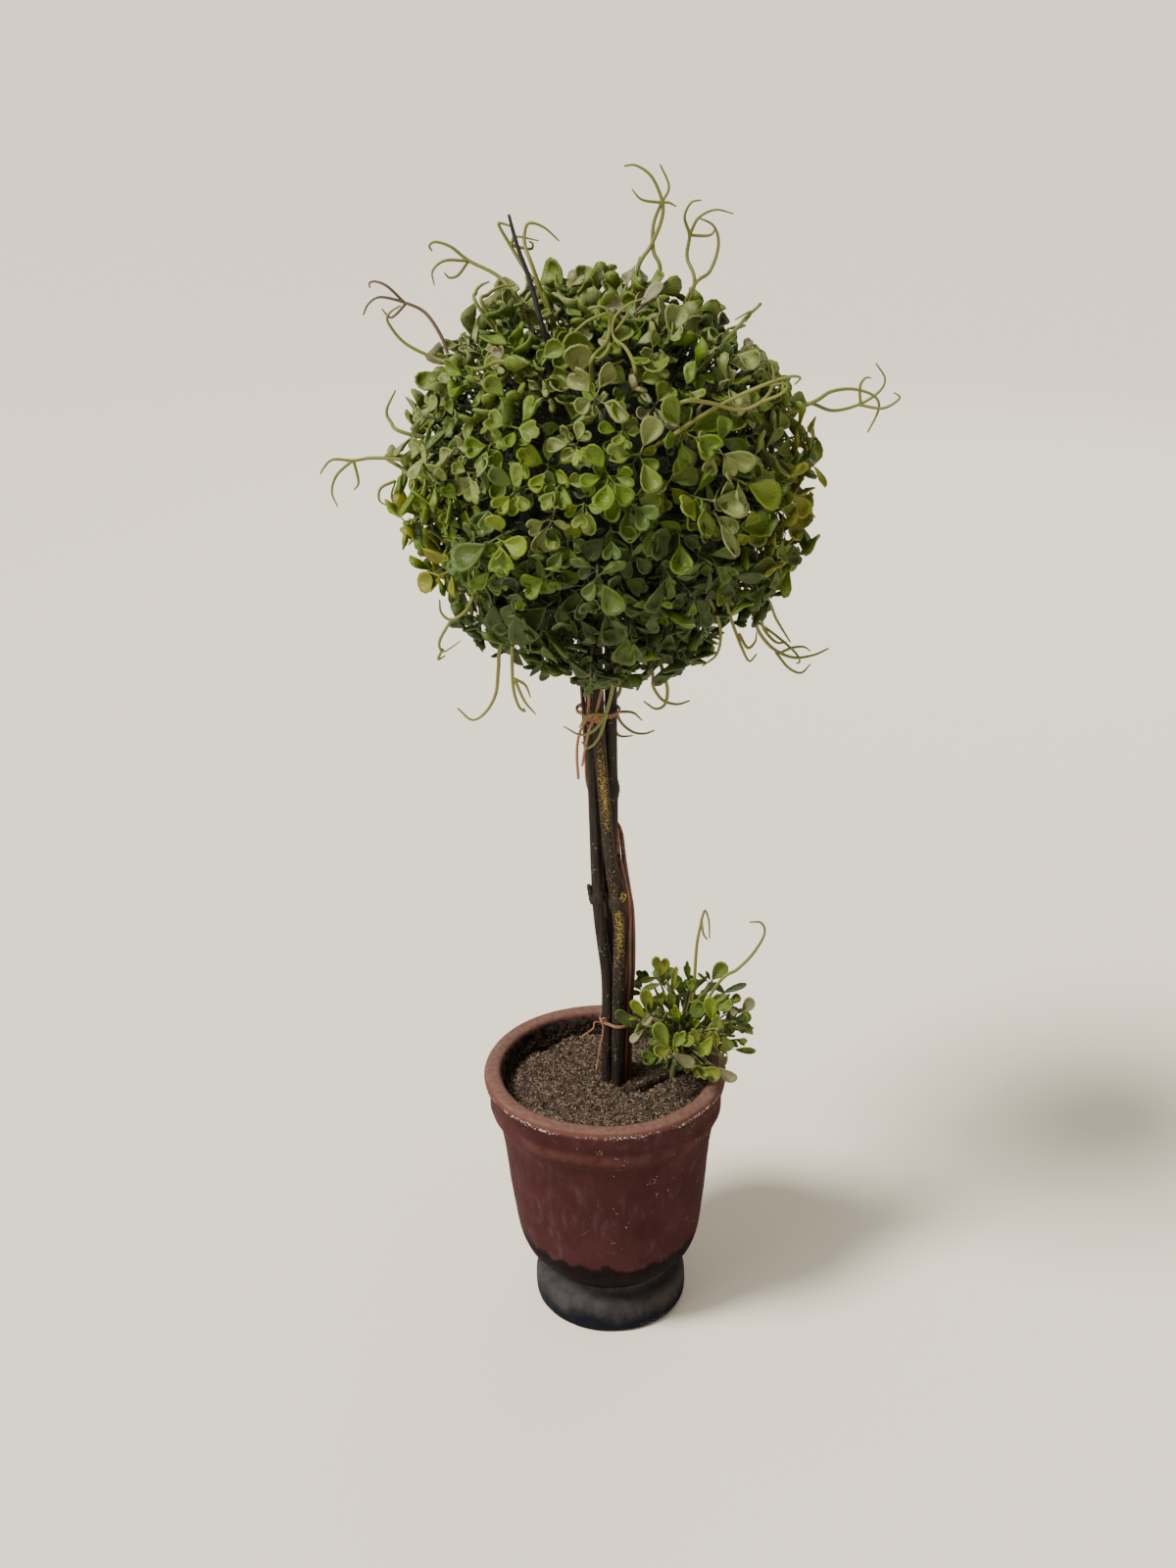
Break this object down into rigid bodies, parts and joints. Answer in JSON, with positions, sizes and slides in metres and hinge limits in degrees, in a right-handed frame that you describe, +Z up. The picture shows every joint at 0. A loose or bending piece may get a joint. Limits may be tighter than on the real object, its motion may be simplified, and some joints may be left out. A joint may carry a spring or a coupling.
{
  "type": "artificial potted ball topiary",
  "caption": "Artificial ball topiary: clipped ball of small spoon leaves on a trunk of bound canes, with curled tendrils and a leafy clump, in a footed clay pot.",
  "frame": {"origin": "middle of the pot's flat underside, on the surface that it stands on", "axes": "+Z up along the trunk, -Y is the front, +X is to the right seen from the front"},
  "size_m": [0.2374, 0.2054, 0.5375],
  "materials": {
    "pot_clay": "unglazed clay with a worn oxblood paint, dark at the foot",
    "pot_filler": "coarse sandy grit",
    "cane_bark": "dark dry bark with yellow lichen",
    "vine": "smooth red-brown vine, slightly glossy",
    "twine": "copper-coloured twisted twine",
    "stick": "black, matt",
    "leaf": "moulded plastic leaves, satin, a little dusty on top"
  },
  "bodies": {
    "root": {"pot": "pot_clay", "pot_fill": "pot_filler", "cane_left": "cane_bark", "cane_front": "cane_bark", "cane_back": "cane_bark", "vine_strand_1": "vine", "vine_strand_2": "vine", "vine_strand_3": "vine", "tie_lower": "twine", "tie_upper": "twine", "twine_end_1": "twine", "twine_end_2": "twine", "top_stick": "stick", "ball_foliage": "leaf", "clump_foliage": "leaf"}
  },
  "joints": []
}
